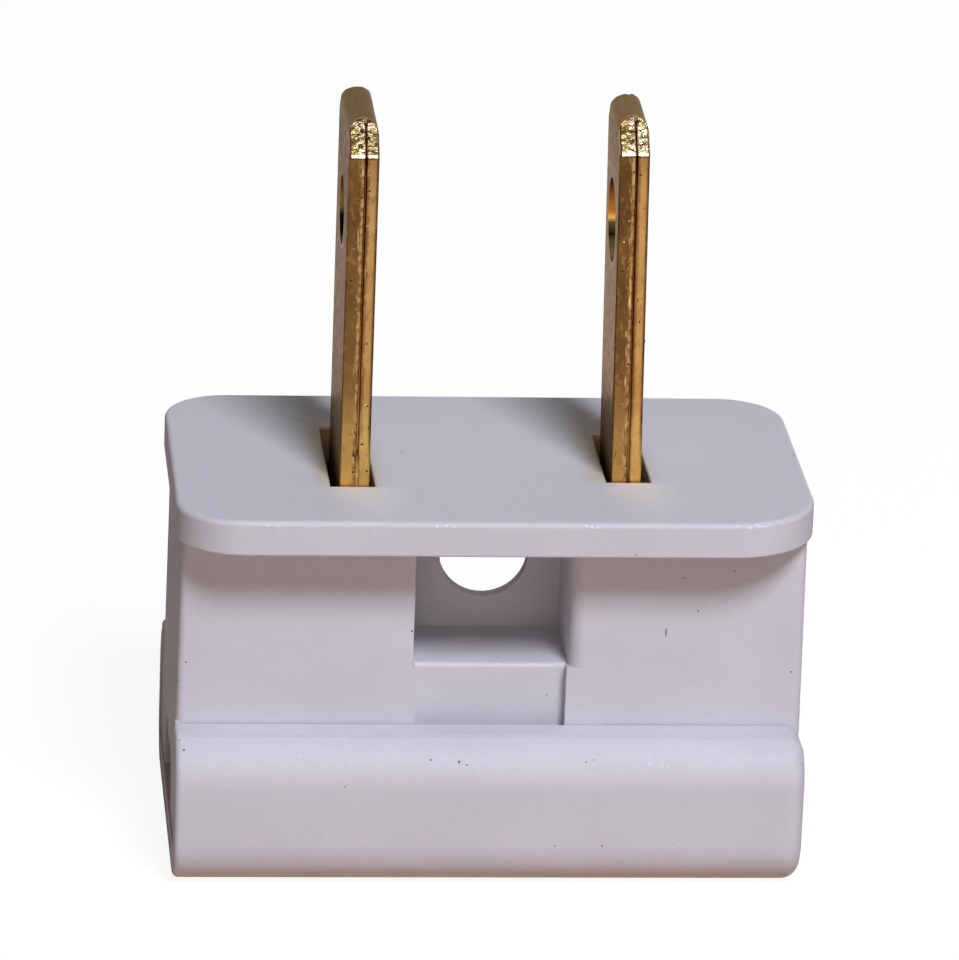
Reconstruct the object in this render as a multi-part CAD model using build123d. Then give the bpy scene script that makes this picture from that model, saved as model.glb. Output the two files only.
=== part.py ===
from build123d import *
import math
import os

# Two-prong plug for flat two-core cord, with a cover that slides on from one end.
# Millimetres, +Z up along the blades. The origin is under the middle of the cover.
# X runs across the two blades and along the cord, which comes in at the -X end.

# Blades: spacing, widths and hole height are those that a wall socket expects
BLADE_SPACING = 12.7
BLADE_OFFSET = -0.08
WIDE_BLADE = 7.94
NARROW_BLADE = 6.35
BLADE_LENGTH = 17.0
BLADE_HOLE_HEIGHT = 11.9
NARROW_HOLE_DROP = 0.37
WIDE_HOLE = 3.2
NARROW_HOLE = 3.9
LEG = 0.65
FOLD_SLIT = 0.08
SLIT_DEPTH = 0.6
SLIT_OFFSET = 0.1
FOLD_SKIN = 0.22
TIP_CUT = 1.5
BLADE_EDGE = 0.1
SHOULDER = 0.8
FOOT_INNER = 3.2
TOOTH_BASE = 1.6
TOOTH_HEIGHT = 2.0

# How far each blade sits off its place in its loose slot: shift, turn and lean
WIDE_SHIFT = 0.10
WIDE_TURN = 0.5
NARROW_SHIFT = -0.03
NARROW_TURN = 1.1
NARROW_LEAN = 0.9

# Cover, from the floor up
COVER_FLOOR = 1.6
COVER_WALL = 1.38
COVER_END = 1.43
LIP = 1.13
LIP_STEP = 0.2
LIP_FLAT = 1.18
COVER_ROUND = 2.2
COVER_PROUD = 0.07
END_ROUND = 0.8
END_DROP = 0.5
LIP_END = 0.7
LIP_CORNER = 0.7
MOUTH_EDGE = 0.3
RIB_WIDTH = 5.0
RIB_HEIGHT = 0.5
RIB_RAMP = 2.5
RIB_START = 0.5
RIB_GROOVE = 0.3

# Body, from the rails up
GRIP_LENGTH = 28.72
GRIP_DEPTH = 12.32
GRIP_HEIGHT = 9.05
GRIP_DRAFT = 0.09
GRIP_EDGE = 0.35
RAIL_REACH = 1.14
RAIL_HEIGHT = 4.23
RAIL_LEAD = 0.4
PLATE = 1.65
PLATE_RIM_X = 0.22
PLATE_RIM_Y = 0.23
PLATE_CORNER = 3.0
PLATE_SOFT_CORNER = 4.0
PLATE_EDGE = 0.25
PLATE_UNDER_EDGE = 0.12
SLOT_EDGE = 0.12

# Recesses between the two grips
RECESS_WIDTH = 7.15
RECESS_HEIGHT = 6.41
BACK_LEDGE_DROP = 0.75
WEB_FRONT = 0.58
WEB_BACK = 0.15
WEB_HOLE = 4.1
WEB_HOLE_DROP = 2.88
BLOCK_STEP = 0.1
BLOCK_INSET = 0.7
BLOCK_EDGE = 0.2
SOFT_EDGE = 0.7
CRISP_EDGE = 0.12

# Cord channel in the underside of the body: a round roof over each core, and a stop
CORE_OFFSET = 1.35
CORE_RADIUS = 1.5
CHANNEL_DEPTH = 2.85
CHANNEL_STOP = 2.3

# Clearances
SLIDE_CLEARANCE = 0.12
FLOOR_CLEARANCE = 0.15
LIP_CLEARANCE = 0.10
END_CLEARANCE = 0.10
SEAM = 0.07
SLOT_SIDE = 0.65
SLOT_END = 0.12
POCKET_END = 0.14
FOOT_CLEARANCE = 0.06
TOOTH_GAP = 0.30
SEAT_GAP = 0.02

# Overlap of shapes that are joined or cut, and how near an edge is to the plane that picks it
LAP = 0.1
NEAR = 0.01

# Levels
BODY_BOTTOM = COVER_FLOOR + FLOOR_CLEARANCE
RIB_TOP = COVER_FLOOR + RIB_HEIGHT
RAIL_TOP = BODY_BOTTOM + RAIL_HEIGHT
LIP_BOTTOM = RAIL_TOP + SLIDE_CLEARANCE
LIP_TOP = LIP_BOTTOM + LIP
SHELL_TOP = LIP_TOP - LIP_STEP
HEEL = LIP_TOP - END_DROP
GRIP_BOTTOM = LIP_TOP + SEAM
PLATE_BOTTOM = GRIP_BOTTOM + GRIP_HEIGHT
FACE = PLATE_BOTTOM + PLATE
TIP = FACE + BLADE_LENGTH
LEDGE = PLATE_BOTTOM - RECESS_HEIGHT
CHANNEL_TOP = BODY_BOTTOM + CHANNEL_DEPTH

# Half sizes
GRIP_X = GRIP_LENGTH / 2
GRIP_Y = GRIP_DEPTH / 2
RAIL_Y = GRIP_Y + RAIL_REACH
CAVITY_Y = RAIL_Y + SLIDE_CLEARANCE
COVER_Y = CAVITY_Y + COVER_WALL
COVER_X = GRIP_X + COVER_PROUD
CAVITY_END = COVER_X - COVER_END
BODY_END = CAVITY_END - END_CLEARANCE
MOUTH_Y = GRIP_Y + LIP_CLEARANCE
LIP_Y = MOUTH_Y + LIP_FLAT
LIP_X = COVER_X - LIP_STEP
PLATE_X = GRIP_X + PLATE_RIM_X
PLATE_Y = COVER_Y + PLATE_RIM_Y
WIDE_X = BLADE_OFFSET - BLADE_SPACING / 2
NARROW_X = BLADE_OFFSET + BLADE_SPACING / 2
BLADE_THICK = 2 * LEG + FOLD_SLIT
SLOT = BLADE_THICK + SLOT_SIDE
BLADE_PLACES = ((WIDE_X, WIDE_BLADE), (NARROW_X, NARROW_BLADE))


def block(x0, x1, y0, y1, z0, z1):
    size = Box(x1 - x0, y1 - y0, z1 - z0)
    return Pos((x0 + x1) / 2, (y0 + y1) / 2, (z0 + z1) / 2) * size


def prism_along_x(points, x0, x1):
    face = Plane.YZ * make_face(Polyline(*points, close=True))
    return Pos(x0, 0, 0) * extrude(face, amount=x1 - x0)


def prism_along_y(points, half):
    face = Plane.XZ * make_face(Polyline(*points, close=True))
    return extrude(face, amount=half, both=True)


def rod_along(axis_turn, radius, length, x, y, z):
    return Pos(x, y, z) * axis_turn * Cylinder(radius, length)


def upright(shape, x_min, y_min, z):
    edges = shape.edges().filter_by(lambda e: e.bounding_box().size.Z > 1)
    edges = edges.filter_by(lambda e: abs(e.center().X) > x_min and abs(e.center().Y) > y_min)
    return edges.filter_by(lambda e: abs(e.center().Z - z) < 1)


# Face plate with its two blade slots. One corner is worn rounder than the rest.

def plate_outline():
    sheet = Rectangle(2 * PLATE_X, 2 * PLATE_Y)
    soft = sheet.vertices().filter_by(lambda v: v.X > 0 and v.Y < 0)
    sheet = fillet(soft, PLATE_SOFT_CORNER)
    sharp = PLATE_X + PLATE_Y - NEAR
    return fillet(sheet.vertices().filter_by(lambda v: abs(v.X) + abs(v.Y) > sharp), PLATE_CORNER)


def plate_slab():
    slab = Pos(0, 0, PLATE_BOTTOM) * extrude(plate_outline(), amount=PLATE)
    slab = fillet(slab.faces().sort_by(Axis.Z)[-1].edges(), PLATE_EDGE)
    slab = fillet(slab.faces().sort_by(Axis.Z)[0].edges(), PLATE_UNDER_EDGE)
    for x, width in BLADE_PLACES:
        slab = slab - blade_slot(x, width)
    rims = [wire.edges() for wire in slab.faces().sort_by(Axis.Z)[-1].inner_wires()]
    return fillet([edge for rim in rims for edge in rim], SLOT_EDGE)


def blade_slot(x, width):
    half = width / 2 + SLOT_END
    return block(x - SLOT / 2, x + SLOT / 2, -half, half, PLATE_BOTTOM - 1, FACE + 1)


# Space below the plate where a blade stands, open at the bottom

def blade_pocket(x, width):
    half = width / 2 + SHOULDER + POCKET_END
    low = BODY_BOTTOM - 1
    return block(x - SLOT / 2, x + SLOT / 2, -half, half, low, PLATE_BOTTOM)


# Grips, with a little draft at the two ends, and a heel that hangs over the cover's closed end

def grip_block():
    low = GRIP_X
    top = GRIP_X - GRIP_DRAFT
    inner = BODY_END - RAIL_LEAD
    points = [(-low, GRIP_BOTTOM), (inner, GRIP_BOTTOM), (inner, HEEL), (low, HEEL)]
    points += [(top, PLATE_BOTTOM), (-top, PLATE_BOTTOM)]
    grip = prism_along_y(points, GRIP_Y)
    corners = upright(grip, low - 1, GRIP_Y - 1, GRIP_BOTTOM + GRIP_HEIGHT / 2)
    return fillet(corners, GRIP_EDGE)


def recess(side):
    half = RECESS_WIDTH / 2
    web = WEB_BACK if side > 0 else WEB_FRONT
    ledge = LEDGE - BACK_LEDGE_DROP if side > 0 else LEDGE
    cut = block(-half, half, web, GRIP_Y + 1, ledge, PLATE_BOTTOM)
    half = half - BLOCK_STEP
    cut += block(-half, half, GRIP_Y - BLOCK_INSET, GRIP_Y + 1, RAIL_TOP, ledge + LAP)
    return cut if side > 0 else Rot(0, 0, 180) * cut


def soften_grip(grip):
    front = grip.edges().filter_by(Axis.Z).filter_by(lambda e: abs(e.center().Y + GRIP_Y) < NEAR)
    soft = front.filter_by(lambda e: abs(e.center().X - RECESS_WIDTH / 2) < NEAR)
    grip = fillet(soft, SOFT_EDGE)
    crisp = grip.edges().filter_by(Axis.Z).filter_by(lambda e: abs(e.center().Y + GRIP_Y) < NEAR)
    grip = fillet(crisp.filter_by(lambda e: abs(e.center().X + RECESS_WIDTH / 2) < NEAR), CRISP_EDGE)
    ledges = grip.edges().filter_by(Axis.X)
    ledges = ledges.filter_by(lambda e: abs(abs(e.center().Y) - GRIP_Y + BLOCK_INSET) < NEAR)
    return fillet(ledges.filter_by(lambda e: e.center().Z > GRIP_BOTTOM + 1), BLOCK_EDGE)


def web_hole():
    z = PLATE_BOTTOM - WEB_HOLE_DROP
    return rod_along(Rot(90, 0, 0), WEB_HOLE / 2, 4 * (WEB_FRONT + WEB_BACK), 0, 0, z)


# Neck and rails that carry the cover

def rails():
    neck = block(-GRIP_X, BODY_END, -GRIP_Y, GRIP_Y, BODY_BOTTOM, GRIP_BOTTOM)
    rail = block(-GRIP_X, BODY_END, -RAIL_Y, RAIL_Y, BODY_BOTTOM, RAIL_TOP)
    ends = rail.faces().sort_by(Axis.X)[-1].edges().filter_by(Axis.Z)
    return neck + chamfer(ends, RAIL_LEAD)


# The channel stops short of the closed end, above a gate that lets the cover's rib through

def cord_channel():
    start = -GRIP_X - 1
    stop = BODY_END - CHANNEL_STOP
    half = CORE_OFFSET + CORE_RADIUS
    roof = CHANNEL_TOP - CORE_RADIUS
    channel = block(start, stop, -half, half, BODY_BOTTOM - 1, roof)
    for y in (-CORE_OFFSET, CORE_OFFSET):
        channel += rod_along(Rot(0, 90, 0), CORE_RADIUS, stop - start, (start + stop) / 2, y, roof)
    gate = RIB_WIDTH / 2 + SLIDE_CLEARANCE
    channel += block(start, BODY_END + 1, -gate, gate, BODY_BOTTOM - 1, RIB_TOP + FLOOR_CLEARANCE)
    return channel


def plug_body():
    body = soften_grip(grip_block() - recess(1) - recess(-1))
    body = body + plate_slab() + (rails() - recess(1) - recess(-1))
    body = body - web_hole() - cord_channel()
    for x, width in BLADE_PLACES:
        body = body - blade_pocket(x, width)
    return body


# Cover

def cover_outline():
    flat = COVER_Y - COVER_ROUND
    slope = math.acos((LIP_Y - flat) / COVER_ROUND)
    straight = SHELL_TOP - COVER_ROUND * math.sin(slope)
    low = CenterArc((flat, COVER_ROUND), COVER_ROUND, 270, 90)
    high = CenterArc((flat, straight), COVER_ROUND, 0, math.degrees(slope))
    side = Line(low @ 1, high @ 0)
    low_left = mirror(low, Plane.YZ)
    high_left = mirror(high, Plane.YZ)
    side_left = mirror(side, Plane.YZ)
    top = Line(high @ 1, high_left @ 1)
    bottom = Line(low @ 0, low_left @ 0)
    return make_face([low, side, high, top, high_left, side_left, low_left, bottom])


def cover_shell():
    shell = Pos(-COVER_X, 0, 0) * extrude(Plane.YZ * cover_outline(), amount=2 * COVER_X)
    shell = fillet(shell.faces().sort_by(Axis.X)[-1].edges(), END_ROUND)
    return fillet(shell.faces().sort_by(Axis.X)[0].edges(), MOUTH_EDGE)


def cover_lip():
    low = LIP_BOTTOM + LIP / 4
    lip = block(-COVER_X, LIP_X, -LIP_Y, LIP_Y, low, LIP_TOP)
    corners = lip.edges().filter_by(Axis.Z).filter_by(lambda e: e.center().X > 0)
    lip = fillet(corners, LIP_CORNER)
    lip = lip & lip_profile()
    return fillet(lip.faces().sort_by(Axis.X)[0].edges(), LIP_STEP)


# Side view of the lips: their top curves down at the closed end

def lip_profile():
    profile = block(-COVER_X, LIP_X, -COVER_Y, COVER_Y, 0, LIP_TOP)
    edges = profile.edges().filter_by(Axis.Y).filter_by(lambda e: e.center().X > 0)
    return fillet(edges.sort_by(Axis.Z)[-1], LIP_END)


def press_rib():
    half = RIB_WIDTH / 2
    start = -COVER_X + RIB_START
    end = CAVITY_END
    points = [(start, COVER_FLOOR - LAP), (start, COVER_FLOOR), (start + RIB_RAMP, RIB_TOP)]
    points += [(end, RIB_TOP), (end, COVER_FLOOR - LAP)]
    rib = prism_along_y(points, half)
    for y in (-CORE_OFFSET, CORE_OFFSET):
        z = RIB_TOP + CORE_RADIUS - RIB_GROOVE
        rib = rib - rod_along(Rot(0, 90, 0), CORE_RADIUS, 2 * BODY_END, -RAIL_LEAD, y, z)
    return rib


def slide_cover():
    cover = cover_shell() + cover_lip()
    cavity = block(-COVER_X - 1, CAVITY_END, -CAVITY_Y, CAVITY_Y, COVER_FLOOR, LIP_BOTTOM)
    mouth = block(-COVER_X - 1, CAVITY_END, -MOUTH_Y, MOUTH_Y, COVER_FLOOR, LIP_TOP + 1)
    mouth += block(0, COVER_X + 1, -MOUTH_Y, MOUTH_Y, HEEL - SEAM, LIP_TOP + 1)
    return cover - cavity - mouth + press_rib()


# Blades: one strip folded double and pressed flat. The fold is the rounded tip, and a slit
# between the two legs shows along every edge.

def blade_outline(width, tooth_y):
    half = width / 2
    wide = half + SHOULDER
    foot = COVER_FLOOR + FOOT_CLEARANCE
    seat = PLATE_BOTTOM - SEAT_GAP
    tooth = RIB_TOP + TOOTH_GAP
    edge = tooth + TOOTH_HEIGHT
    root = TOOTH_BASE / 2
    points = [(-wide, foot), (-FOOT_INNER, foot), (-FOOT_INNER, edge)]
    points += [(tooth_y - root, edge), (tooth_y, tooth), (tooth_y + root, edge)]
    points += [(FOOT_INNER, edge), (FOOT_INNER, foot), (wide, foot), (wide, seat)]
    points += [(half, seat), (half, TIP - TIP_CUT), (half - TIP_CUT, TIP)]
    points += [(TIP_CUT - half, TIP), (-half, TIP - TIP_CUT), (-half, seat), (-wide, seat)]
    return prism_along_x(points, -BLADE_THICK, BLADE_THICK)


def fold_section(half_width):
    radius = BLADE_THICK / 2
    leg = block(-radius, radius, -half_width, half_width, 0, TIP - radius)
    fold = rod_along(Rot(90, 0, 0), radius, 2 * half_width, 0, 0, TIP - radius)
    return leg + fold


def slit(width):
    half = width / 2
    reach = half + SHOULDER + 1
    low = RIB_TOP + TOOTH_GAP + TOOTH_HEIGHT + SLIT_DEPTH
    gap = block(SLIT_OFFSET - FOLD_SLIT / 2, SLIT_OFFSET + FOLD_SLIT / 2, -reach, reach, -1, TIP - FOLD_SKIN)
    side = half - SLIT_DEPTH
    bend = TIP - TIP_CUT - SLIT_DEPTH * (math.sqrt(2) - 1)
    crown = half - TIP_CUT - SLIT_DEPTH * math.sqrt(2)
    points = [(-side, low), (side, low), (side, bend), (crown, TIP), (-crown, TIP), (-side, bend)]
    return gap - prism_along_x(points, -BLADE_THICK, BLADE_THICK)


def folded_blade(width, hole, hole_z, tooth_y):
    blade = blade_outline(width, tooth_y) & fold_section(width / 2 + SHOULDER)
    blade = blade - slit(width)
    blade = blade - rod_along(Rot(0, 90, 0), hole / 2, 3 * BLADE_THICK, 0, 0, hole_z)
    middle = (PLATE_BOTTOM + TIP) / 2
    return fillet(upright(blade, 0, width / 2 - NEAR, middle), BLADE_EDGE)


def wide_blade():
    z = FACE + BLADE_HOLE_HEIGHT
    blade = folded_blade(WIDE_BLADE, WIDE_HOLE, z, CORE_OFFSET)
    return Pos(WIDE_X + WIDE_SHIFT, 0, 0) * Rot(0, 0, -WIDE_TURN) * blade


def narrow_blade():
    z = FACE + BLADE_HOLE_HEIGHT - NARROW_HOLE_DROP
    blade = folded_blade(NARROW_BLADE, NARROW_HOLE, z, -CORE_OFFSET)
    blade = Pos(0, 0, PLATE_BOTTOM) * Rot(0, -NARROW_LEAN, 0) * Pos(0, 0, -PLATE_BOTTOM) * blade
    return Pos(NARROW_X + NARROW_SHIFT, 0, 0) * Rot(0, 0, -NARROW_TURN) * blade


PARTS = {
    "plug_body": plug_body,
    "slide_cover": slide_cover,
    "wide_blade": wide_blade,
    "narrow_blade": narrow_blade,
}

os.makedirs("parts", exist_ok=True)
for node, build in PARTS.items():
    export_step(build(), f"parts/{node}.step")
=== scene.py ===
import math
import random
from collections import namedtuple

import bpy
from mathutils import Matrix, Vector, noise


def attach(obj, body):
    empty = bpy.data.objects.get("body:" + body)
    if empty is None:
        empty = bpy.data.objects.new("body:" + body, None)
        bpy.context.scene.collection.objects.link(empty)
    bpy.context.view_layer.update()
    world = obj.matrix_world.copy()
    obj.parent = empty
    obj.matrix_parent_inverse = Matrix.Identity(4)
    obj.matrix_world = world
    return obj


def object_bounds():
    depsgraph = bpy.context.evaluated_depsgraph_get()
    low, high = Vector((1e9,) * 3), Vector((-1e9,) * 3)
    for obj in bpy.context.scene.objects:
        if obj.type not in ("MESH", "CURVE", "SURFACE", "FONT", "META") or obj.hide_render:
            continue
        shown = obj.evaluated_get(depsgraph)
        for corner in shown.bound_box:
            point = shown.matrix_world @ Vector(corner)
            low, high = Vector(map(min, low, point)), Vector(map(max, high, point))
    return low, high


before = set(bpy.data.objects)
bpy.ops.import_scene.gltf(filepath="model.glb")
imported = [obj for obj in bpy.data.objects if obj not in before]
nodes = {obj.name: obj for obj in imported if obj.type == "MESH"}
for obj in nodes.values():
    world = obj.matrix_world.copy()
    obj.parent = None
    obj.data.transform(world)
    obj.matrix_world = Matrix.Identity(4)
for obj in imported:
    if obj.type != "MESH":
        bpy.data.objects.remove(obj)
cad_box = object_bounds()

MM = 0.001
IMAGE_SIZE = (959, 960)

# Camera, from the photograph's own perspective, lengths in millimetres
CAMERA_AZIMUTH = 5.417
CAMERA_ELEVATION = 19.112
CAMERA_ROLL = 2.155
CAMERA_DISTANCE = 323.806
CAMERA_TARGET = (-0.384, -1.159, 17.315)
FOCAL_PIXELS = 7042.42
SENSOR = 36.0

# Lamps: direction that each comes from, its width in degrees as the object sees it, and the
# light that it gives to a surface facing it; all stand at one distance from LAMP_AIM, in metres
KEY = ((0.18, -0.65, 0.738), 17.0, (0.745, 0.775, 0.885))
FILL = ((0.05, -1.0, 0.18), 50.0, (0.190, 0.165, 0.138))
BACK = ((0.15, 0.98, -0.06), 60.0, (0.50, 0.485, 0.45))
LAMP_DISTANCE = 0.6
LAMP_AIM = (0, 0, 0.016)
AMBIENT = (0.01, 0.008, 0.007)

# Floor: light that it throws back on to the object near and far, the distances in millimetres
# between which the one changes to the other, half its side in metres, and what the camera sees
FLOOR_NEAR = (0.64, 0.43, 0.34)
FLOOR_FAR = (0.70, 0.51, 0.42)
FLOOR_CHANGE = (14.0, 30.0)
FLOOR_REACH = 2.0
FLOOR_SHADED = (0.14, 0.14, 0.14)
FLOOR_GLOW = (0.92, 0.92, 0.92)

# Heights and sizes that the blades share, in millimetres as in the CAD model
TIP = 35.0
TIP_CUT = 1.5
PLATE_BOTTOM = 16.35
FACE = 18.0
HALF_THICK = 0.69
SEAM = 0.1
SEAM_HALF = 0.04


def tone(*rgb):
    """Linear colour of a screen colour written in 0 to 255."""
    return tuple(v / 255 / 12.92 if v <= 10 else ((v / 255 + 0.055) / 1.055) ** 2.4 for v in rgb)


# Blades: half width, hole height and radius, place as a shift in X, a turn about Z and a lean
# about Y, how far the seam's line wanders, the seed of its torn corners, how much their tops stick
# out, the tints of the two legs (painted shade on the left leg, painted light on the right), the
# tones of the upper faces (tarnish with painted reflection), and the tones round the hole's wall
# from its bottom (-1) to its top (1), painted light and shade
Blade = namedtuple("Blade", "half hole_z hole_r place wander seed lobe tints upper hole_tones")
BLADES = {
    "wide_blade": Blade(
        3.97, 29.9, 1.6, (-6.33, -0.5, 0.0), 0.42, 2.0, 0.3, None, None,
        ((-1.0, tone(96, 84, 62)), (-0.85, tone(16, 11, 6)), (-0.4, tone(22, 15, 8)),
         (-0.22, tone(120, 96, 54)), (0.0, tone(150, 116, 66)), (0.3, tone(176, 116, 62)),
         (0.7, tone(170, 112, 66)), (1.0, tone(120, 84, 56)))),
    "narrow_blade": Blade(
        3.175, 29.53, 1.95, (6.24, -1.1, -0.9), 0.16, 9.0, 1.0,
        ((0.86, 0.80, 0.80), (1.15, 1.08, 0.98)), (tone(162, 134, 110), tone(122, 107, 74)),
        ((-1.0, tone(150, 140, 96)), (-0.75, tone(112, 104, 62)), (-0.6, tone(28, 22, 8)),
         (-0.34, tone(96, 88, 44)), (-0.24, tone(255, 214, 120)), (-0.1, tone(214, 140, 60)),
         (0.55, tone(170, 112, 56)), (0.9, tone(110, 84, 60)))),
}

# Brass: tones at heights in millimetres, with light and shade painted in; on the rolled faces
# painted reflection over tarnish, darker at the foot and just under the tip
ROLLED_TONES = (
    (18.0, tone(86, 70, 48)), (19.0, tone(90, 77, 60)), (20.3, tone(104, 90, 80)),
    (22.0, tone(112, 90, 72)), (29.0, tone(120, 97, 76)), (31.5, tone(94, 72, 56)),
    (33.2, tone(86, 66, 50)), (34.3, tone(106, 96, 68)))
# Sheared faces of the legs: painted shade on the left leg, painted reflected light on the right,
# both brighter near the foot
LEFT_LEG_TONES = (
    (18.0, tone(212, 168, 94)), (19.6, tone(190, 150, 84)), (21.4, tone(150, 114, 66)),
    (23.0, tone(118, 84, 48)), (26.0, tone(104, 76, 42)), (33.0, tone(92, 64, 35)))
RIGHT_LEG_TONES = (
    (18.0, tone(206, 166, 94)), (19.3, tone(206, 168, 98)), (20.2, tone(200, 160, 96)),
    (22.0, tone(180, 138, 82)), (27.0, tone(180, 138, 84)), (31.5, tone(180, 140, 88)),
    (33.3, tone(156, 116, 68)))
# Inside the seam between the legs: painted light, bright near the foot, turning to painted shade
# under the tip
FOLD_TONES = (
    (18.0, tone(255, 236, 176)), (20.0, tone(255, 220, 148)), (22.5, tone(232, 168, 100)),
    (26.0, tone(196, 134, 76)), (32.0, tone(180, 122, 72)), (33.3, tone(30, 16, 8)))
BRASS_TINT = (0.62, 0.50, 0.42)

# Torn faces of the cut tip corners: grid, border in cells painted dark as shade, lip at the foot
# and its reach up the face, lengths in millimetres
CUT_COLUMNS = 34
CUT_ROWS = 96
CUT_BORDER = 5
CUT_LENGTH = 2.12
SEAM_BORDER = 2
SEAM_BORDER_ROWS = 12
LIP_REACH = 0.175
LIP_SLOPE = 0.20
SUNK = 0.03

# Relief of the torn faces in millimetres: level, hollows, ridges and rounded border, the crown
# at the top, how far the skins stay inside the blade and off its seam, and the notch over the
# seam
TORN_LEVEL = 0.022
TORN_HOLLOWS = 0.038
TORN_RIDGES = 0.050
TORN_BORDER = 0.055
CROWN_SLOPE = 0.22
CROWN_START = 1.45
CROWN_LENGTH = 0.45
INSET = 0.01
SEAM_INSET = 0.022
NOTCH_DEPTH = 0.05
NOTCH_WIDTH = 0.07

# Skin that closes the wide blade's seam at its foot
FOOT_ROWS = 40
FOOT_COLUMNS = 6
FOOT_REACH = 0.075
FOOT_FADE = 18.9
FOOT_TOP = 19.7

# Marks: pixel of the photograph, radius in millimetres, and stretch
COVER_SPECKS = (
    (180, 740, 0.05, 1.2), (184, 750, 0.09, 0.8), (430.5, 760, 0.07, 1.0), (459, 762, 0.08, 1.3),
    (467, 765, 0.06, 1.0), (466, 733, 0.05, 1.0), (586, 762, 0.05, 1.0), (594, 760, 0.07, 0.4),
    (555, 846, 0.05, 1.0), (345, 787, 0.05, 1.0), (602, 846, 0.05, 1.2), (801, 764, 0.05, 1.0),
    (680, 840, 0.04, 1.0))
BODY_SPECKS = (
    (666, 632, 0.045, 7.0), (412, 631, 0.08, 1.2), (186, 662, 0.07, 0.8), (178, 681, 0.06, 1.0),
    (685, 578, 0.05, 1.0), (698, 611, 0.06, 1.2), (791, 672, 0.06, 1.0), (735, 571, 0.05, 1.0),
    (547, 695, 0.06, 0.6), (636, 555, 0.05, 1.0), (794, 455, 0.07, 0.7), (402, 452, 0.07, 0.8),
    (545, 430, 0.05, 0.8))
PITS = {
    "wide_blade": (
        (353.8, 455, 0.10, 1.5), (353, 472, 0.10, 0.7), (367, 471, 0.08, 1.4),
        (360.5, 377.5, 0.07, 1.2), (360.8, 393, 0.07, 0.9), (367, 344, 0.08, 0.8),
        (367, 406, 0.09, 0.8), (368.8, 427.5, 0.07, 1.4), (363, 444, 0.05, 1.0),
        (363.8, 464, 0.04, 1.0), (373.3, 200.3, 0.05, 0.9), (368.6, 231.7, 0.04, 1.0),
        (368.3, 191.4, 0.05, 1.2), (361, 287, 0.04, 1.3), (354, 445, 0.05, 1.0)),
    "narrow_blade": (
        (644.5, 341, 0.09, 1.5), (625.5, 466, 0.08, 0.9), (623, 443, 0.05, 0.7),
        (629, 444, 0.04, 1.0), (615, 455, 0.035, 7.0), (640.7, 175, 0.07, 1.3),
        (644, 228, 0.04, 1.0), (614.6, 269.3, 0.05, 1.0), (610, 280, 0.06, 0.8),
        (641.4, 298.6, 0.04, 1.0), (638, 300, 0.05, 2.5), (639.5, 322, 0.05, 2.5),
        (606.5, 373, 0.05, 1.0)),
}
GLINTS = {
    "wide_blade": ((353.5, 249, 0.05, 0.5), (367, 226, 0.035, 0.8), (366, 405, 0.06, 0.7),
                   (370, 175, 0.05, 0.6)),
    "narrow_blade": ((629.5, 221, 0.07, 0.5), (624, 242, 0.05, 1.0), (622.5, 404, 0.05, 0.6),
                     (628, 424, 0.03, 2.0)),
}

# Shape of a mark: how many corners, and how high its edge and its middle stand at least
MARK_SIDES = 9
MARK_EDGE = 0.003
MARK_RISE = 0.004

# Painted sparkles, bright blobs for small highlights: how many on the cover, clusters on the
# plate's front edge as middle in X and number, and how many on the ledge; they are found along rays
# from this Y
COVER_SPARKLES = 420
PLATE_CLUSTERS = ((-2.5, 5), (10.4, 2), (11.6, 6), (-10.3, 3), (4.0, 3))
LEDGE_SPARKLES = 30
IN_FRONT = -20

dice = random.Random(7)


def make_camera():
    az, el, roll = (math.radians(v) for v in (CAMERA_AZIMUTH, CAMERA_ELEVATION, CAMERA_ROLL))
    back = Vector((-math.sin(az) * math.cos(el), -math.cos(az) * math.cos(el), math.sin(el)))
    side = (-back).cross(Vector((0, 0, 1))).normalized()
    rise = side.cross(-back)
    right = math.cos(roll) * side + math.sin(roll) * rise
    up = -math.sin(roll) * side + math.cos(roll) * rise
    place = (Vector(CAMERA_TARGET) + back * CAMERA_DISTANCE) * MM
    data = bpy.data.cameras.new("camera")
    data.sensor_fit = "HORIZONTAL" if IMAGE_SIZE[0] >= IMAGE_SIZE[1] else "VERTICAL"
    data.sensor_width = SENSOR
    data.sensor_height = SENSOR
    data.lens = FOCAL_PIXELS / max(IMAGE_SIZE) * SENSOR
    data.clip_start = 0.01
    data.clip_end = 10.0
    camera = bpy.data.objects.new("camera", data)
    turn = Matrix((right, up, back)).transposed().to_4x4()
    camera.matrix_world = Matrix.Translation(place) @ turn
    bpy.context.scene.collection.objects.link(camera)
    bpy.context.scene.camera = camera


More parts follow.
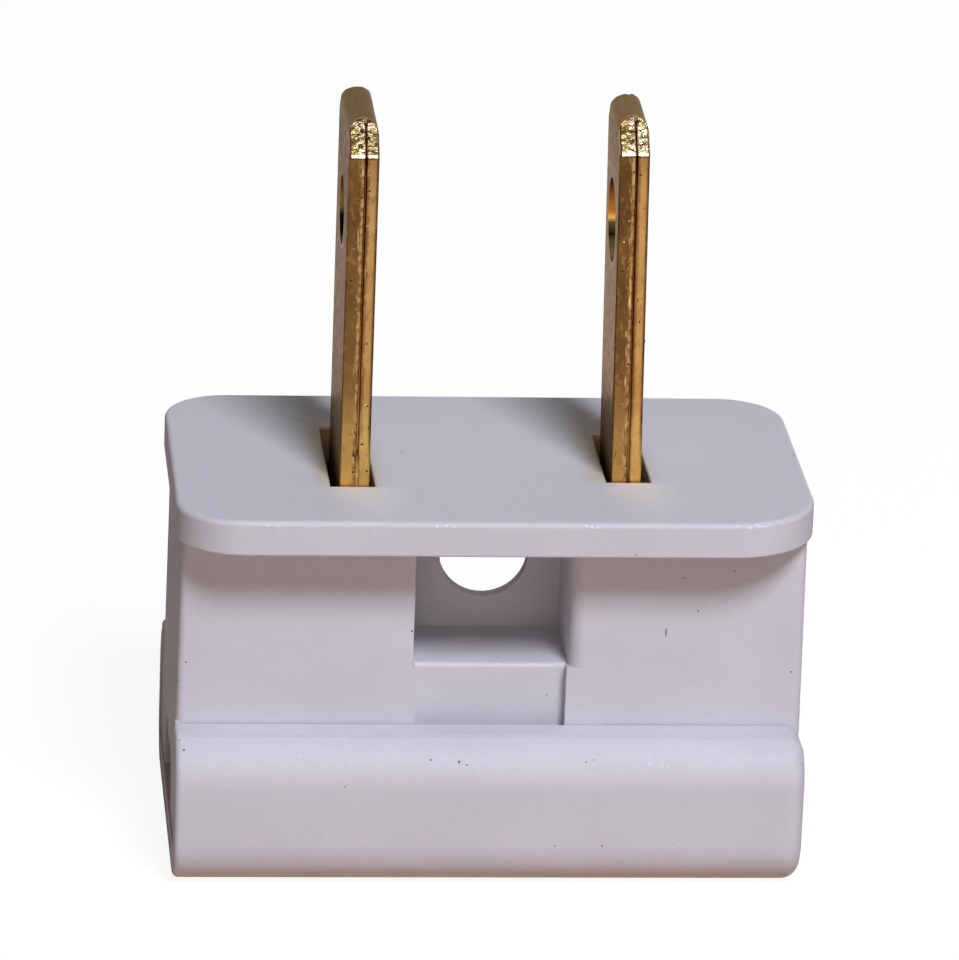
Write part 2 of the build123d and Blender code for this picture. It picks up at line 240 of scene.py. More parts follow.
class Nodes:
    """Small helper that adds shader nodes and links them; positions are in millimetres."""

    def __init__(self, name, world=False):
        self.owner = (bpy.data.worlds if world else bpy.data.materials).new(name)
        self.owner.use_nodes = True
        self.tree = self.owner.node_tree
        self.tree.nodes.clear()
        self.output = self.add("ShaderNodeOutputWorld" if world else "ShaderNodeOutputMaterial")
        if not world:
            place = self.add("ShaderNodeTexCoord")
            scale = self.add("ShaderNodeVectorMath", operation="SCALE")
            self.link(place.outputs["Object"], scale.inputs[0])
            scale.inputs["Scale"].default_value = 1 / MM
            self.position = scale.outputs[0]
            self.x, self.y, self.z = self.split(self.position)
            self.facing_x = self.split(place.outputs["Normal"])[0]

    def add(self, kind, **values):
        node = self.tree.nodes.new(kind)
        for key, value in values.items():
            setattr(node, key, value)
        return node

    def link(self, a, b):
        self.tree.links.new(a, b)

    def split(self, vector):
        node = self.add("ShaderNodeSeparateXYZ")
        self.link(vector, node.inputs[0])
        return node.outputs

    def put(self, socket, value):
        if isinstance(value, bpy.types.NodeSocket):
            self.link(value, socket)
        elif isinstance(value, tuple) and socket.type == "RGBA":
            socket.default_value = (*value, 1.0)
        else:
            socket.default_value = value

    def math(self, operation, a, b=0.0):
        node = self.add("ShaderNodeMath", operation=operation)
        self.put(node.inputs[0], a)
        self.put(node.inputs[1], b)
        return node.outputs[0]

    def sum(self, a, b):
        return self.math("ADD", a, b)

    def less(self, a, b):
        return self.math("SUBTRACT", a, b)

    def times(self, first, *others):
        for other in others:
            first = self.math("MULTIPLY", first, other)
        return first

    def off(self, value, centre):
        """Distance from the centre, either way."""
        return self.math("ABSOLUTE", self.less(value, centre))

    def map_range(self, value, *limits, **values):
        node = self.add("ShaderNodeMapRange", **values)
        self.put(node.inputs["Value"], value)
        for socket, number in zip(("From Min", "From Max", "To Min", "To Max"), limits):
            self.put(node.inputs[socket], number)
        return node.outputs[0]

    def step(self, value, low, high, a=0.0, b=1.0):
        """a below low, b above high, smooth between them; low may be above high."""
        if low > high:
            low, high, a, b = high, low, b, a
        return self.map_range(value, low, high, a, b, interpolation_type="SMOOTHSTEP")

    def band(self, value, centre, half, soft):
        """1 within half of centre, 0 beyond half + soft."""
        return self.step(self.off(value, centre), half + soft, half)

    def stretched(self, stretch):
        node = self.add("ShaderNodeVectorMath", operation="MULTIPLY")
        self.link(self.position, node.inputs[0])
        node.inputs[1].default_value = stretch
        return node.outputs[0]

    def noise(self, scale, detail=2.0, rough=0.5, stretch=None, distortion=0.0):
        node = self.add("ShaderNodeTexNoise")
        self.link(self.stretched(stretch) if stretch else self.position, node.inputs["Vector"])
        node.inputs["Scale"].default_value = scale
        node.inputs["Detail"].default_value = detail
        node.inputs["Roughness"].default_value = rough
        node.inputs["Distortion"].default_value = distortion
        return node.outputs["Fac"]

    def cells(self, scale, stretch):
        """Distance to the nearest of many scattered points, and two numbers that each has."""
        node = self.add("ShaderNodeTexVoronoi")
        self.link(self.stretched(stretch), node.inputs["Vector"])
        node.inputs["Scale"].default_value = scale
        pick = self.add("ShaderNodeSeparateColor")
        self.link(node.outputs["Color"], pick.inputs[0])
        return node.outputs["Distance"], pick.outputs[0], pick.outputs[1]

    def ramp(self, value, low, high, stops):
        """Colours at values between low and high."""
        node = self.add("ShaderNodeValToRGB")
        self.put(node.inputs["Fac"], self.map_range(value, low, high))
        elements = node.color_ramp.elements
        while len(elements) < len(stops):
            elements.new(0.5)
        for element, (place, colour) in zip(elements, stops):
            element.position = (place - low) / (high - low)
            element.color = (*colour, 1.0)
        return node.outputs["Color"]

    def local(self, matrix):
        """From here on, positions are in the axes of a part that stands at matrix."""
        node = self.add("ShaderNodeMapping", vector_type="TEXTURE")
        self.link(self.position, node.inputs["Vector"])
        node.inputs["Location"].default_value = matrix.translation
        node.inputs["Rotation"].default_value = matrix.to_euler()
        self.position = node.outputs[0]
        self.x, self.y, self.z = self.split(self.position)

    def mix(self, factor, a, b, blend="MIX"):
        node = self.add("ShaderNodeMix", data_type="RGBA", blend_type=blend)
        self.put(node.inputs[0], factor)
        self.put(node.inputs[6], a)
        self.put(node.inputs[7], b)
        return node.outputs[2]

    def bump(self, height, distance, normal=None):
        node = self.add("ShaderNodeBump")
        self.put(node.inputs["Height"], height)
        node.inputs["Strength"].default_value = 1.0
        node.inputs["Distance"].default_value = distance * MM
        if normal:
            self.link(normal, node.inputs["Normal"])
        return node.outputs["Normal"]

    def finish(self, shader):
        self.link(shader, self.output.inputs["Surface"])
        return self.owner

    def principled(self, **values):
        node = self.add("ShaderNodeBsdfPrincipled")
        for key, value in values.items():
            self.put(node.inputs[key.replace("_", " ")], value)
        return self.finish(node.outputs[0])


def plastic():
    """Moulded plastic: fine grain, slow waves, brass stain and painted reflection of the brass at
    the slots, painted shade at the foot.
    """
    n = Nodes("ivory_plastic")
    cloud = n.noise(0.16, 3.0)
    grain = n.noise(11.0, 2.0, 0.6)
    sides = n.step(n.math("ABSOLUTE", n.facing_x), 0.6, 0.95, 0.0, 0.35)
    rough = n.sum(n.step(cloud, 0.3, 0.7, 0.50, 0.60), sides)
    colour = n.mix(n.step(cloud, 0.3, 0.7), (0.645, 0.64, 0.685), (0.675, 0.67, 0.715))
    colour = n.mix(n.step(grain, 0.35, 0.65, 0.0, 0.5), colour, (0.61, 0.605, 0.645))
    spots = n.step(n.noise(1.3, 4.0, 0.6), 0.55, 0.8, 0.0, 0.35)
    colour = n.mix(spots, colour, (0.66, 0.62, 0.63))

    # Brass stain round the slots, partly painted reflection of the brass; brighter painted
    # reflection of the brass down the slot walls, and a pale painted reflection of the brass ahead
    # of each slot
    stain_and_reflection, reflection_ahead = [], []
    for blade in BLADES.values():
        shift = blade.place[0]
        stain_and_reflection.append(n.times(n.band(n.x, shift - 0.3, 0.9, 1.1),
                              n.band(n.y, 0.3, blade.half - 0.3, 1.4)))
        ahead = n.less(-blade.half - 0.4, n.y)
        reflection_ahead.append(n.times(n.band(n.x, shift + 0.5, 0.3, 1.9),
                            n.step(ahead, -0.6, 0.2), n.step(ahead, 6.0, 0.3)))
    stain_and_reflection = n.times(n.math("MAXIMUM", *stain_and_reflection), n.step(n.z, PLATE_BOTTOM, PLATE_BOTTOM + 0.2))
    reflection_ahead = n.times(n.math("MAXIMUM", *reflection_ahead), n.step(n.z, FACE - 0.1, FACE))
    wall_reflection = n.times(stain_and_reflection, n.step(n.z, FACE - 0.10, FACE - 0.45))
    # Painted reflection of the brass: mixed with stain round the slots, brighter on the slot walls,
    # pale ahead of each slot
    colour = n.mix(n.times(stain_and_reflection, 0.75), colour, (0.62, 0.54, 0.36))
    colour = n.mix(wall_reflection, colour, (0.84, 0.74, 0.48))
    colour = n.mix(n.times(reflection_ahead, 0.8), colour, (0.80, 0.76, 0.70))

    # Painted shade: darker and browner at the very bottom, where the plastic meets the floor
    foot = n.less(n.z, n.times(n.noise(0.5, 3.0), 0.3))
    colour = n.mix(n.step(foot, 1.0, -0.05, 0.0, 0.9), colour, (0.50, 0.38, 0.33))
    wave = n.sum(n.noise(0.35, 2.0), n.times(n.noise(1.6, 3.0), 0.18))
    return n.principled(
        Base_Color=colour, Roughness=rough, Specular_IOR_Level=0.25, IOR=1.5,
        Subsurface_Weight=0.25, Subsurface_Radius=(1.0, 0.75, 0.6), Subsurface_Scale=0.8 * MM,
        Normal=n.bump(grain, 0.0045, n.bump(wave, 0.10)))


def blade_matrix(shift, turn, lean):
    base = Matrix.Translation((0, 0, PLATE_BOTTOM))
    tilt = base @ Matrix.Rotation(math.radians(lean), 4, "Y") @ base.inverted()
    return Matrix.Translation((shift, 0, 0)) @ Matrix.Rotation(math.radians(turn), 4, "Z") @ tilt


def brass(name, blade):
    """Stamped brass strip: rolled faces tarnished and in painted reflection, and brighter sheared
    edges round its fold.
    """
    n = Nodes(name)
    n.local(blade_matrix(*blade.place))
    cloud = n.noise(0.55, 4.0, stretch=(1.0, 0.5, 1.0))
    mottle = n.noise(3.0, 3.0, 0.6, stretch=(1.0, 0.4, 1.0))
    fine = n.noise(10.0, 3.0, 0.6, stretch=(1.0, 0.5, 1.0))

    rolled = rolled_colour(n, blade, cloud, mottle)
    edge, pit, dents = edge_colour(n, blade, cloud, mottle)
    at_side = n.step(n.math("ABSOLUTE", n.y), blade.half - 0.13, blade.half - 0.10)
    colour = n.mix(at_side, rolled, edge)
    # Painted shadow: a dark line on the sheared faces just under the lip of the cut tip corners
    painted_lip_shadow = n.times(at_side, n.band(n.z, TIP - TIP_CUT - 0.03, 0.02, 0.05))
    colour = n.mix(n.times(painted_lip_shadow, 0.8), colour, tone(84, 60, 40))
    colour = hole_colour(n, blade, colour)

    # Painted light and shade inside the seam: bright near the foot, dark under the tip
    inside = n.times(n.band(n.x, SEAM, SEAM_HALF + 0.001, 0.002),
                     n.step(n.z, TIP - 0.2, TIP - 0.24))
    colour = n.mix(inside, colour, n.ramp(n.z, FACE, TIP, FOLD_TONES))

    height = n.sum(n.times(mottle, 0.6), n.times(fine, 0.25))
    height = n.sum(height, n.times(at_side, dents))
    height = n.less(height, n.times(pit, at_side, 1.2))
    return n.principled(
        Base_Color=colour, Metallic=1.0, Roughness=n.step(mottle, 0.3, 0.7, 0.34, 0.5),
        Specular_Tint=BRASS_TINT, Normal=n.bump(height, 0.012))


def rolled_colour(n, blade, cloud, mottle):
    """Rolled faces and domed tip, dulled by tarnish and by painted reflection and shade."""
    colour = n.ramp(n.z, FACE, TIP, ROLLED_TONES)
    if blade.upper:
        upper = n.mix(n.step(n.z, 31.0, 34.0), *blade.upper)
        colour = n.mix(n.step(n.z, 20.0, 23.0), colour, upper)
    colour = n.mix(n.step(cloud, 0.35, 0.7, 0.0, 0.55), colour, tone(124, 102, 90))
    colour = n.mix(n.step(mottle, 0.5, 0.75, 0.0, 0.35), colour, tone(92, 74, 50))
    streak = n.step(n.noise(1.0, 3.0, stretch=(5.0, 5.0, 0.45)), 0.55, 0.8, 0.0, 0.30)
    below_dome = n.step(n.z, TIP - 0.9, TIP - 1.3)
    return n.mix(n.times(streak, below_dome), colour, tone(140, 112, 86))


def edge_colour(n, blade, cloud, mottle):
    """Sheared edge: left leg in painted shade, right leg in painted reflected light, and a ragged
    strand and groove at the seam.

    Gives the colour, where the pits are, and how high the dents and scratches stand.
    """
    wander = n.noise(1.0, 4.0, 0.65, stretch=(0.0, 0.0, 1.1))
    wander = n.times(n.less(wander, 0.5), blade.wander)
    ragged = n.times(n.less(n.noise(4.5, 3.0, 0.7), 0.5), 0.16)
    shifted = n.sum(n.x, n.sum(wander, ragged))
    left = n.ramp(n.z, FACE, TIP, LEFT_LEG_TONES)
    right = n.ramp(n.z, FACE, TIP, RIGHT_LEG_TONES)
    # The tints paint the left leg darker and the right leg brighter, as shade and light
    if blade.tints:
        left = n.mix(1.0, left, blade.tints[0], "MULTIPLY")
        right = n.mix(1.0, right, blade.tints[1], "MULTIPLY")
    strand = n.mix(n.step(mottle, 0.42, 0.58), tone(132, 92, 50), tone(178, 138, 88))
    colour = n.mix(n.step(shifted, -0.16, -0.06), left, strand)
    colour = n.mix(n.step(n.x, SEAM - 0.01, SEAM + 0.01), colour, right)
    groove = n.times(n.step(n.x, SEAM, SEAM + 0.02), n.step(shifted, SEAM + 0.24, SEAM + 0.12),
                     n.step(n.z, 20.0, 22.0))
    colour = n.mix(n.times(groove, 0.8), colour, tone(112, 76, 46))
    # Darker at the outer edges of the sheared face: painted shade along the left edge, and a dark
    # patch low on the right edge
    right_corner = n.times(n.step(n.x, 0.50, 0.64), n.step(n.z, 18.5, 21.0))
    colour = n.mix(right_corner, colour, tone(84, 52, 26))
    colour = n.mix(n.step(n.x, -0.60, -0.68), colour, tone(84, 58, 34))
    colour = n.mix(n.step(cloud, 0.4, 0.7, 0.0, 0.30), colour, tone(150, 108, 56))

    # Dents all over, and scratches and nicks beside the seam
    hammered = n.noise(2.2, 4.0, 0.7, stretch=(1.6, 1.0, 0.8), distortion=0.6)
    scratch = n.noise(2.6, 3.0, 0.6, stretch=(4.0, 1.0, 0.5))
    nick = n.noise(5.0, 3.0, 0.7, stretch=(1.4, 1.0, 0.8))
    beside = n.step(n.off(n.x, SEAM - 0.10), 0.32, 0.10)
    colour = n.mix(n.step(hammered, 0.50, 0.72, 0.0, 0.30), colour, tone(206, 152, 86))
    colour = n.mix(n.step(hammered, 0.48, 0.32, 0.0, 0.40), colour, tone(112, 74, 40))
    bright = n.times(n.step(scratch, 0.56, 0.66, 0.0, 0.75), beside)
    colour = n.mix(bright, colour, tone(226, 184, 124))
    dark = n.times(n.step(nick, 0.60, 0.68, 0.0, 0.8), beside)
    colour = n.mix(dark, colour, tone(74, 46, 22))

    # Fine pits, more of them near the seam, and glints
    away, pit_chance, glint_chance = n.cells(2.6, (1.0, 1.0, 0.8))
    near_seam = n.step(n.off(n.x, SEAM), 0.5, 0.0, 0.80, 0.62)
    pit = n.times(n.step(away, 0.16, 0.07), n.math("GREATER_THAN", pit_chance, near_seam))
    colour = n.mix(pit, colour, tone(58, 36, 18))
    glint = n.times(n.step(away, 0.10, 0.05), n.math("GREATER_THAN", glint_chance, 0.86))
    colour = n.mix(glint, colour, tone(250, 226, 176))
    return colour, pit, n.sum(hammered, n.times(scratch, 0.6))


def hole_colour(n, blade, colour):
    """Hole: wall in painted light and shade, brown above and black below, with a painted highlight
    on its lower rim.
    """
    up = n.less(n.z, blade.hole_z)
    across = n.math("SQRT", n.sum(n.times(n.y, n.y), n.times(up, up)))
    # Painted highlight: a bright rim along the lower edge of the hole
    rim = n.times(n.band(across, blade.hole_r + 0.12, 0.05, 0.08), n.step(up, -0.2, -0.9))
    colour = n.mix(n.times(rim, 0.6), colour, tone(196, 180, 168))
    stops = [(blade.hole_r * place, stop) for place, stop in blade.hole_tones]
    wall = n.step(across, blade.hole_r + 0.05, blade.hole_r + 0.01)
    return n.mix(wall, colour, n.ramp(up, -blade.hole_r, blade.hole_r, stops))


def torn_brass(name, blade):
    """Torn metal of the cut tip corners: olive outside, pale and crinkled beside the seam, with
    painted shade in its cracks.
    """
    n = Nodes(name)
    n.local(blade_matrix(*blade.place))
    beside = n.step(n.off(n.x, SEAM), 0.62, 0.22)
    crack = n.noise(3.6, 4.0, 0.6, stretch=(1.0, 1.4, 2.0), distortion=0.5)
    cloud = n.noise(1.6, 3.0)
    outer = n.mix(n.step(cloud, 0.4, 0.6), tone(112, 102, 58), tone(156, 142, 90))
    inner = n.mix(n.step(cloud, 0.4, 0.62), tone(158, 138, 96), tone(226, 202, 166))
    colour = n.mix(beside, outer, inner)
    # Painted shade in the cracks
    dark = n.times(n.step(crack, 0.54, 0.44), n.step(beside, 0.0, 1.0, 0.6, 1.0))
    colour = n.mix(dark, colour, tone(52, 42, 18))
    copper = n.step(n.noise(4.2, 3.0), 0.62, 0.70, 0.0, 0.7)
    colour = n.mix(copper, colour, tone(206, 124, 72))
    height = n.sum(n.times(crack, n.step(beside, 0.0, 1.0, 0.35, 1.0)),
                   n.times(n.noise(16.0, 3.0), 0.12))
    return n.principled(Base_Color=colour, Metallic=1.0, Roughness=0.26,
                        Normal=n.bump(height, 0.075))


def rim_brass(name, blade):
    """Dull dark outline of the torn faces in painted shade, redder at the top."""
    n = Nodes(name)
    n.local(blade_matrix(*blade.place))
    colour = n.mix(n.step(n.noise(4.0, 3.0), 0.35, 0.65), tone(46, 24, 12), tone(112, 58, 26))
    top = n.step(n.z, TIP - 0.45, TIP - 0.2, 0.0, 0.6)
    colour = n.mix(top, colour, tone(140, 58, 22))
    return n.principled(Base_Color=colour, Roughness=0.75, Specular_IOR_Level=0.2,
                        Normal=n.bump(n.noise(9.0, 3.0), 0.01))


def lip_brass(name, blade):
    """Burr at the foot of the torn faces, pale with a painted highlight."""
    n = Nodes(name)
    n.local(blade_matrix(*blade.place))
    colour = n.mix(n.step(n.noise(2.2, 2.0), 0.4, 0.6), tone(200, 156, 122), tone(246, 228, 206))
    return n.principled(Base_Color=colour, Metallic=1.0,
                        Roughness=n.step(n.noise(3.0, 2.0), 0.4, 0.6, 0.30, 0.50),
                        Normal=n.bump(n.noise(6.0, 2.0), 0.010))


def foot_brass(name, blade):
    """Skin over the seam's foot, darker towards its ragged top."""
    n = Nodes(name)
    n.local(blade_matrix(*blade.place))
    patches = n.step(n.noise(3.0, 4.0, 0.7), 0.35, 0.65)
    colour = n.mix(patches, tone(158, 116, 58), tone(206, 164, 92))
    colour = n.mix(n.step(n.z, 18.8, 19.6, 0.0, 0.8), colour, tone(124, 86, 46))
    return n.principled(Base_Color=colour, Metallic=1.0, Roughness=0.45,
                        Specular_Tint=BRASS_TINT, Normal=n.bump(n.noise(4.0, 4.0, 0.7), 0.02))


def speck_material(name, dark, light, gloss):
    n = Nodes(name)
    colour = n.mix(n.step(n.noise(8.0, 2.0), 0.35, 0.65), dark, light)
    return n.principled(Base_Color=colour, Roughness=gloss)


def add_piece(name, points, faces, materials, body, kinds=None):
    """Smooth mesh piece that rides a body; kinds gives each face the number of its material."""
    mesh = bpy.data.meshes.new(name)
    mesh.from_pydata(points, [], faces)
    for material in materials:
        mesh.materials.append(material)
    for number, polygon in enumerate(mesh.polygons):
        polygon.use_smooth = True
        polygon.material_index = kinds[number] if kinds else 0
    piece = bpy.data.objects.new(name, mesh)
    bpy.context.scene.collection.objects.link(piece)
    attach(piece, body)


def smooth(value, low, high):
    t = min(max((value - low) / (high - low), 0.0), 1.0)
    return t * t * (3 - 2 * t)


def torn_height(blade, side, x, z, x0, x1, along, left):
    """Height of a torn face over the cut plane, along from its foot and left to its top."""
    hollow = noise.noise(Vector((x * 3.2 + 7 * side, z * 4.6, blade.seed)))
    ridge = 1 - 2 * abs(noise.noise(Vector((x * 5.0, z * 9.0 + 11 * side, 3.0 + blade.seed))))
    beside = x1 if x0 < 0 else x0
    chatter = 0.35 + 0.65 * math.exp(-abs(x - beside) / 0.22)
    height = TORN_LEVEL + TORN_HOLLOWS * hollow + TORN_RIDGES * (ridge - 0.6) * chatter
    crown = blade.lobe * (1.0 if x > SEAM else 0.4)
    height += crown * CROWN_SLOPE * min(max(along - CROWN_START, 0.0), CROWN_LENGTH)
    height = height * smooth(along, 0.18, 0.24) + 0.004
    edge = min(x - x0, x1 - x)
    height = -SUNK + (height + SUNK) * smooth(min(edge, along, left), 0.0, TORN_BORDER)
    lip = 0.003 + LIP_SLOPE * along + 0.006 * noise.noise(Vector((x * 4.0, 1.0, blade.seed)))
    height += (lip - height) * (1 - smooth(along, 0.165, 0.20)) * smooth(edge, 0.0, 0.10)
    return min(height, 1.2 * left)


def torn_kind(i, j, left_leg):
    """Number of a cell's material: 1 for the outline in painted shade, 2 for the lip, 0 elsewhere.
    """
    out, inner = (i, CUT_COLUMNS - 1 - i) if left_leg else (CUT_COLUMNS - 1 - i, i)
    if out < CUT_BORDER or inner == 0 or j >= CUT_ROWS - CUT_BORDER:
        return 1
    if inner < SEAM_BORDER and j < SEAM_BORDER_ROWS:
        return 1
    return 2 if 0 < j < LIP_REACH / CUT_LENGTH * CUT_ROWS else 0


def cut_faces(name, blade):
    """Crinkled skins on the cut tip corners of a blade, one for each leg at each end."""
    matrix = blade_matrix(*blade.place)
    points, faces, kinds = [], [], []
    legs = ((-HALF_THICK + INSET, SEAM - SEAM_INSET), (SEAM + SEAM_INSET, HALF_THICK - INSET))
    for side in (-1, 1):
        for x0, x1 in legs:
            start = len(points)
            for i in range(CUT_COLUMNS + 1):
                x = x0 + (x1 - x0) * i / CUT_COLUMNS
                dome = TIP - HALF_THICK + math.sqrt(max(HALF_THICK ** 2 - x * x, 0.0))
                notch = NOTCH_DEPTH * math.exp(-((x - SEAM) / NOTCH_WIDTH) ** 2)
                top = dome - INSET - notch
                bottom = TIP - TIP_CUT + 0.004
                for j in range(CUT_ROWS + 1):
                    z = bottom + (top - bottom) * j / CUT_ROWS
                    along = (z - bottom) * math.sqrt(2)
                    left = (top - z) * math.sqrt(2)
                    out = torn_height(blade, side, x, z, x0, x1, along, left) / math.sqrt(2)
                    y = blade.half - (z - (TIP - TIP_CUT))
                    points.append(matrix @ Vector((x, side * (y + out), z + out)) * MM)
            for i in range(CUT_COLUMNS):
                for j in range(CUT_ROWS):
                    a = start + i * (CUT_ROWS + 1) + j
                    face = (a, a + CUT_ROWS + 1, a + CUT_ROWS + 2, a + 1)
                    faces.append(face if side < 0 else face[::-1])
                    kinds.append(torn_kind(i, j, x0 < 0))
    materials = (torn_brass(name + "_cut_brass", blade), rim_brass(name + "_cut_rim", blade),
                 lip_brass(name + "_cut_lip", blade))
    add_piece(name + "_cut_faces", points, faces, materials, "plug", kinds)


def seam_foot(name, blade):
    """The two legs of a blade run together at the foot: a skin over the seam at each end."""
    matrix = blade_matrix(*blade.place)
    low = PLATE_BOTTOM + 0.3
    points, faces = [], []
    for side in (-1, 1):
        start = len(points)
        for j in range(FOOT_ROWS + 1):
            z = low + (FOOT_TOP - low) * j / FOOT_ROWS
            wide = FOOT_REACH * (1 - smooth(z, FOOT_FADE, FOOT_TOP) ** 2)
            for i in range(FOOT_COLUMNS + 1):
                u = 2 * i / FOOT_COLUMNS - 1
                sag = 0.006 * noise.noise(Vector((u * 0.6, z * 3.0, 5.0 + side)))
                y = min(blade.half - 0.004 - 0.010 * (1 - u * u) + sag, blade.half - 0.001)
                points.append(matrix @ Vector((SEAM + wide * u, side * y, z)) * MM)
        for j in range(FOOT_ROWS):
            for i in range(FOOT_COLUMNS):
                a = start + j * (FOOT_COLUMNS + 1) + i
                face = (a, a + 1, a + FOOT_COLUMNS + 2, a + FOOT_COLUMNS + 1)
                faces.append(face if side < 0 else face[::-1])
    material = foot_brass(name + "_seam_foot_metal", blade)
    add_piece(name + "_seam_foot", points, faces, (material,), "plug")


def give(node, material):
    """Put a material on a CAD node."""
    for slot in nodes[node].material_slots:
        slot.material = material


# Small marks: dust specks, a scratch, pits, painted glints, and painted sparkles of highlight

def surface(node, start, direction):
    """Place and normal where a ray from start, in millimetres, meets a node."""
    hit, place, normal, _ = nodes[node].ray_cast(Vector(start) * MM, Vector(direction))
    return (place, normal) if hit else None


def seen_at(node, u, v):
    """Point of a node that the photograph shows at a pixel."""
    turn = bpy.context.scene.camera.matrix_world
    right, down = u - IMAGE_SIZE[0] / 2, v - IMAGE_SIZE[1] / 2
    ray = turn.to_3x3() @ Vector((right / FOCAL_PIXELS, -down / FOCAL_PIXELS, -1.0))
    return surface(node, turn.translation / MM, ray)


def spots_at(node, places):
    """Upright spots from (pixel x, pixel y, radius, stretch) each."""
    found = [(seen_at(node, u, v), radius, stretch) for u, v, radius, stretch in places]
    return [(hit, radius, stretch, math.pi / 2) for hit, radius, stretch in found if hit]


def inside_box(point):
    """The point, moved into the CAD model's box if it lies outside."""
    return [min(max(v, low), high) for v, low, high in zip(point, *cad_box)]


def marks(name, body, spots, material):
    """Low irregular blobs: spots are (place and normal, radius, stretch, turn)."""
    points, faces = [], []
    for (place, normal), radius, stretch, turn in spots:
        side = normal.orthogonal().normalized()
        if abs(normal.z) < 0.9:
            side = normal.cross(Vector((0, 0, 1))).normalized()
        rise = normal.cross(side)
        start = len(points)
        points.append(place + normal * (0.25 * radius + MARK_RISE) * MM)
        for k in range(MARK_SIDES):
            angle = 2 * math.pi * k / MARK_SIDES
            reach = 0.8 * radius * dice.uniform(0.65, 1.15) * MM
            a, b = reach * math.cos(angle) * stretch, reach * math.sin(angle)
            a, b = (a * math.cos(turn) - b * math.sin(turn),
                    a * math.sin(turn) + b * math.cos(turn))
            points.append(place + side * a + rise * b + normal * MARK_EDGE * MM)
            faces.append((start, start + 1 + k, start + 1 + (k + 1) % MARK_SIDES))
    add_piece(name, [inside_box(point) for point in points], faces, (material,), body)


# Painted sparkles: bright blobs for the highlights, mostly along the cover's shoulder
def cover_sparkles():
    spots = []
    for _ in range(COVER_SPARKLES):
        x = dice.uniform(-13.9, 14.0)
        z = dice.choice((dice.gauss(6.15, 0.22), dice.gauss(6.2, 0.3), dice.gauss(7.1, 0.04),
                         dice.uniform(5.4, 7.2)))
        hit = surface("slide_cover", (x, IN_FRONT, z), (0, 1, 0))
        if hit:
            spots.append((hit, dice.uniform(0.014, 0.034), dice.uniform(0.8, 2.0), 0.0))
    return spots


# Painted sparkles: bright blobs for the highlights along the plate's front edge and the ledge
def body_sparkles():
    spots = []
    for middle, count in PLATE_CLUSTERS:
        for _ in range(count):
            x, z = middle + dice.gauss(0, 0.30), dice.uniform(17.80, 17.93)
            hit = surface("plug_body", (x, IN_FRONT, z), (0, 1, 0))
            if hit:
                spots.append((hit, dice.uniform(0.03, 0.06), dice.uniform(1.5, 4.0),
                              dice.gauss(0, 0.2)))
    for _ in range(LEDGE_SPARKLES):
        x, z = dice.uniform(-3.0, 3.0), dice.uniform(9.80, 9.92)
        hit = surface("plug_body", (x, IN_FRONT, z), (0, 1, 0))
        if hit:
            spots.append((hit, dice.uniform(0.015, 0.035), dice.uniform(1.0, 3.0), 0.0))
    return spots


def all_marks():
    dirt = speck_material("dust_specks", tone(84, 70, 62), tone(124, 108, 98), 0.8)
    # Painted highlights: sparkles on the plastic and glints on the brass
    shine = speck_material("painted_sparkles", tone(226, 226, 236), tone(244, 244, 250), 0.2)
    pit = speck_material("brass_pits", tone(40, 24, 12), tone(86, 56, 30), 0.7)
    glint = speck_material("brass_glints", tone(236, 206, 150), tone(255, 240, 214), 0.3)
    marks("cover_specks", "cover",
          spots_at("slide_cover", COVER_SPECKS), dirt)
    marks("body_specks", "plug",
          spots_at("plug_body", BODY_SPECKS), dirt)
    for name in BLADES:
        for kind, places, metal in (("_pits", PITS, pit), ("_glints", GLINTS, glint)):
            marks(name + kind, "plug", spots_at(name, places[name]), metal)
    marks("cover_sparkles", "cover", cover_sparkles(), shine)
    marks("body_sparkles", "plug", body_sparkles(), shine)


# Stage: white world and floor, soft lights

def seen_rays(n):
    """Camera, glossy and transmission rays, which see the background white."""
    path = n.add("ShaderNodeLightPath")
    seen = n.math("MAXIMUM", path.outputs["Is Camera Ray"], path.outputs["Is Glossy Ray"])
    return n.math("MAXIMUM", seen, path.outputs["Is Transmission Ray"])


def either(n, others, seen):
    """One shader for the rays that see the background white, another for the rest."""
    mix = n.add("ShaderNodeMixShader")
    n.put(mix.inputs[0], seen_rays(n))
    n.put(mix.inputs[1], others)
    n.put(mix.inputs[2], seen)
    return n.finish(mix.outputs[0])


def coloured(n, kind, colour):
    node = n.add(kind)
    n.put(node.inputs["Color"], colour)
    return node.outputs[0]


def make_world():
    n = Nodes("world", world=True)
    light = coloured(n, "ShaderNodeBackground", AMBIENT)
    white = coloured(n, "ShaderNodeBackground", (1.0, 1.0, 1.0))
    bpy.context.scene.world = either(n, light, white)


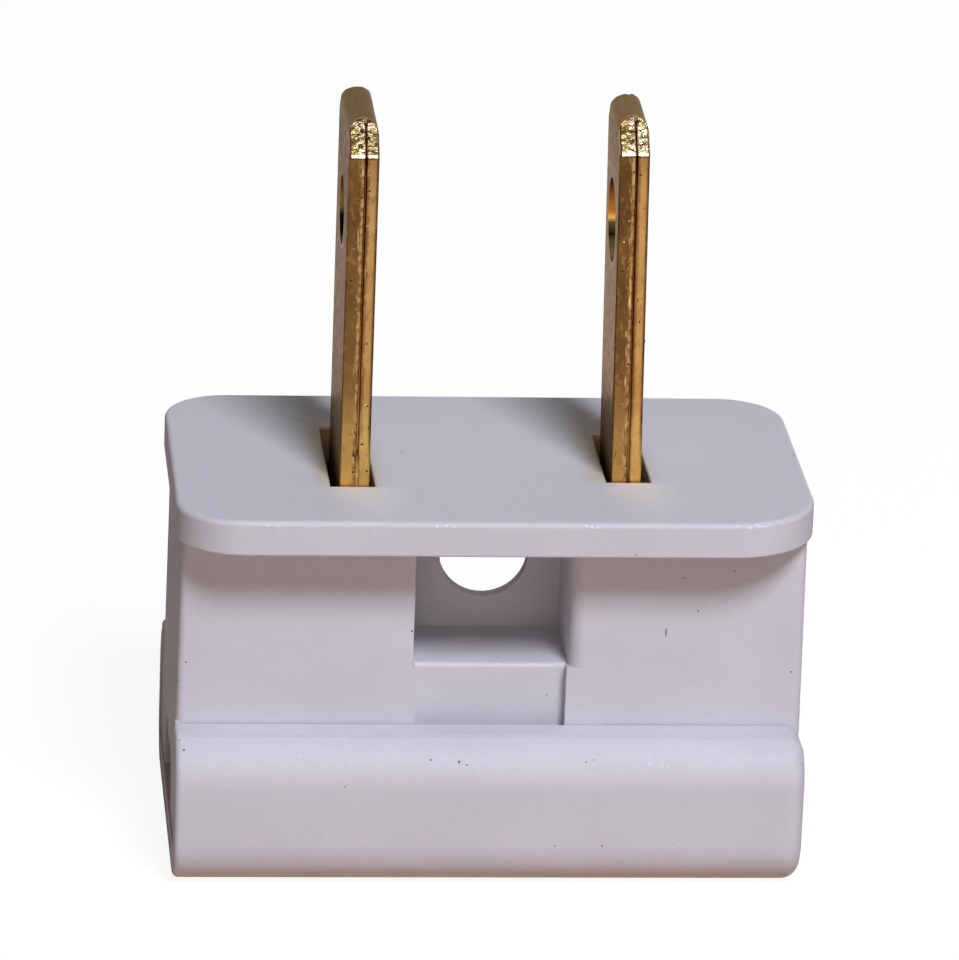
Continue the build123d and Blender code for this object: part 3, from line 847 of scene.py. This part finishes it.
def make_floor():
    mesh = bpy.data.meshes.new("floor")
    corners = [(x * FLOOR_REACH, y * FLOOR_REACH, 0)
               for x, y in ((-1, -1), (1, -1), (1, 1), (-1, 1))]
    mesh.from_pydata(corners, [], [(0, 1, 2, 3)])
    floor = bpy.data.objects.new("floor", mesh)
    bpy.context.scene.collection.objects.link(floor)
    n = Nodes("floor_paper")
    seen = n.add("ShaderNodeAddShader")
    n.link(coloured(n, "ShaderNodeBsdfDiffuse", FLOOR_SHADED), seen.inputs[0])
    n.link(coloured(n, "ShaderNodeEmission", FLOOR_GLOW), seen.inputs[1])
    away = n.add("ShaderNodeVectorMath", operation="LENGTH")
    n.link(n.position, away.inputs[0])
    tint = n.mix(n.step(away.outputs["Value"], *FLOOR_CHANGE), FLOOR_NEAR, FLOOR_FAR)
    bounce = coloured(n, "ShaderNodeBsdfDiffuse", tint)
    mesh.materials.append(either(n, bounce, seen.outputs[0]))


def lamp(name, direction, width, light):
    """Round soft lamp: light is the share of its colour that a white surface facing it shows."""
    strongest = max(light)
    data = bpy.data.lights.new(name, "AREA")
    data.shape = "DISK"
    data.size = 2 * LAMP_DISTANCE * math.tan(math.radians(width / 2))
    data.energy = strongest * math.pi ** 2 * LAMP_DISTANCE ** 2
    data.color = [v / strongest for v in light]
    obj = bpy.data.objects.new(name, data)
    away = Vector(direction).normalized()
    obj.location = Vector(LAMP_AIM) + away * LAMP_DISTANCE
    obj.rotation_euler = (-away).to_track_quat("-Z", "Y").to_euler()
    bpy.context.scene.collection.objects.link(obj)
    return obj


make_camera()
plastic_material = plastic()
for node_name in ("plug_body", "slide_cover"):
    give(node_name, plastic_material)
for blade_name, sizes in BLADES.items():
    give(blade_name, brass(blade_name + "_metal", sizes))
    cut_faces(blade_name, sizes)
seam_foot("wide_blade", BLADES["wide_blade"])
all_marks()

make_world()
make_floor()
lamp("key", *KEY)
lamp("fill", *FILL)
lamp("back", *BACK).visible_glossy = False
bpy.context.scene.view_settings.view_transform = "Standard"
